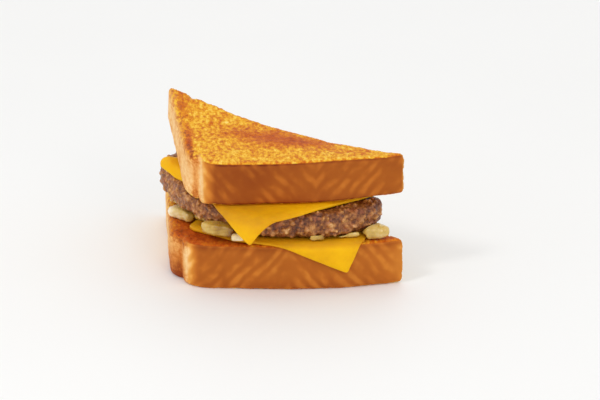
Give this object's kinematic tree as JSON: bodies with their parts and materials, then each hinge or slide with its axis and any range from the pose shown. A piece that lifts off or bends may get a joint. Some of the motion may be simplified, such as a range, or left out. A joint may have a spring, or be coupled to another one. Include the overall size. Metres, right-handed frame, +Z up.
{
  "type": "sausage melt sandwich half",
  "caption": "Diagonal half of a sausage melt: thick toast around a sausage patty, cooked onions and draped cheese slices.",
  "frame": {"origin": "middle of the footprint, on the surface the sandwich rests on", "axes": "+X along the front crust to the right, +Y away from the front crust, +Z up"},
  "size_m": [0.1206, 0.125, 0.0723],
  "materials": {
    "toast": "matt toasted bread, golden faces and brown crust",
    "cheese": "satin sliced cheese",
    "onion": "moist cooked onion",
    "patty": "browned minced meat, slightly greasy"
  },
  "bodies": {
    "root": {"bread_bottom": "toast", "cheese_lower": "cheese", "onion_bed": "onion", "onion_left": "onion", "onion_front_left": "onion", "onion_front_small": "onion", "onion_front_sliver": "onion", "onion_front_flat": "onion", "onion_right": "onion", "patty": "patty", "cheese_upper": "cheese", "bread_top": "toast"}
  },
  "joints": []
}
